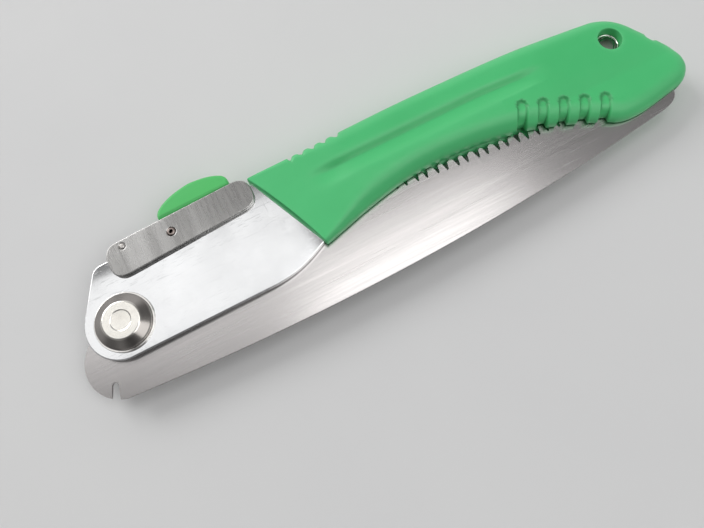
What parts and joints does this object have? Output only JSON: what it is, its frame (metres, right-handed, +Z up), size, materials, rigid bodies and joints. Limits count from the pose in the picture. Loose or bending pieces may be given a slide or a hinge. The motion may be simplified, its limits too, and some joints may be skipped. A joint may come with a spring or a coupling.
{
  "type": "folding pruning saw",
  "caption": "Folding pruning saw: a toothed blade turns on a bolt between two bright steel plates into a slotted green grip, and a sprung thumb lever with a pin locks it",
  "frame": {"origin": "centre of the footprint, at the lowest point of the saw as it lies on its lower grip shell", "axes": "+X along the folded saw from the plate nose to the butt of the grip, +Y towards the back with the thumb lever, +Z up out of the flat side of the saw"},
  "size_m": [0.2553, 0.0672, 0.019],
  "materials": {
    "grip_plastic": "satin moulded green",
    "pad_plastic": "satin moulded green, a little yellower",
    "plate_chrome": "bright polished plating",
    "bolt_chrome": "bright polished plating",
    "blade_steel": "satin, brushed along the blade",
    "lever_zinc": "galvanised, finely scratched",
    "pin_steel": "satin",
    "brass": "satin",
    "spring_steel": "dark drawn wire"
  },
  "bodies": {
    "handle": {"grip_upper": "grip_plastic", "grip_lower": "grip_plastic", "frame_plate_upper": "plate_chrome", "frame_plate_lower": "plate_chrome", "frame_spacer": "pin_steel", "frame_rivet_front": "pin_steel", "frame_rivet_middle": "pin_steel", "frame_rivet_rear": "pin_steel", "grip_screw_front": "pin_steel", "grip_screw_middle": "pin_steel", "grip_screw_rear": "pin_steel", "hang_hole_eyelet": "bolt_chrome", "blade_stop_pin": "pin_steel", "pivot_bolt": "bolt_chrome", "pivot_nut": "bolt_chrome", "pivot_washer_upper": "bolt_chrome", "pivot_washer_lower": "bolt_chrome", "pivot_bush": "brass", "blade_washer_upper": "brass", "blade_washer_lower": "brass", "lever_pivot_pin": "pin_steel", "lever_spring": "spring_steel"},
    "blade": {"blade": "blade_steel"},
    "lock_lever": {"lever_channel": "lever_zinc", "thumb_pad": "pad_plastic", "lock_pin": "pin_steel"}
  },
  "joints": [
    {"name": "blade_fold", "type": "hinge", "parent": "handle", "child": "blade", "pos_m": [-0.1075, -0.00505, 0.0095], "axis": [0, 0, -1], "range_deg": [0, 171]},
    {"name": "lock_lever", "type": "hinge", "parent": "handle", "child": "lock_lever", "pos_m": [-0.0792, 0.01825, 0.0095], "axis": [0, 0, -1], "range_deg": [-9, 2.5], "stiffness_Nm_per_rad": 0.3}
  ]
}
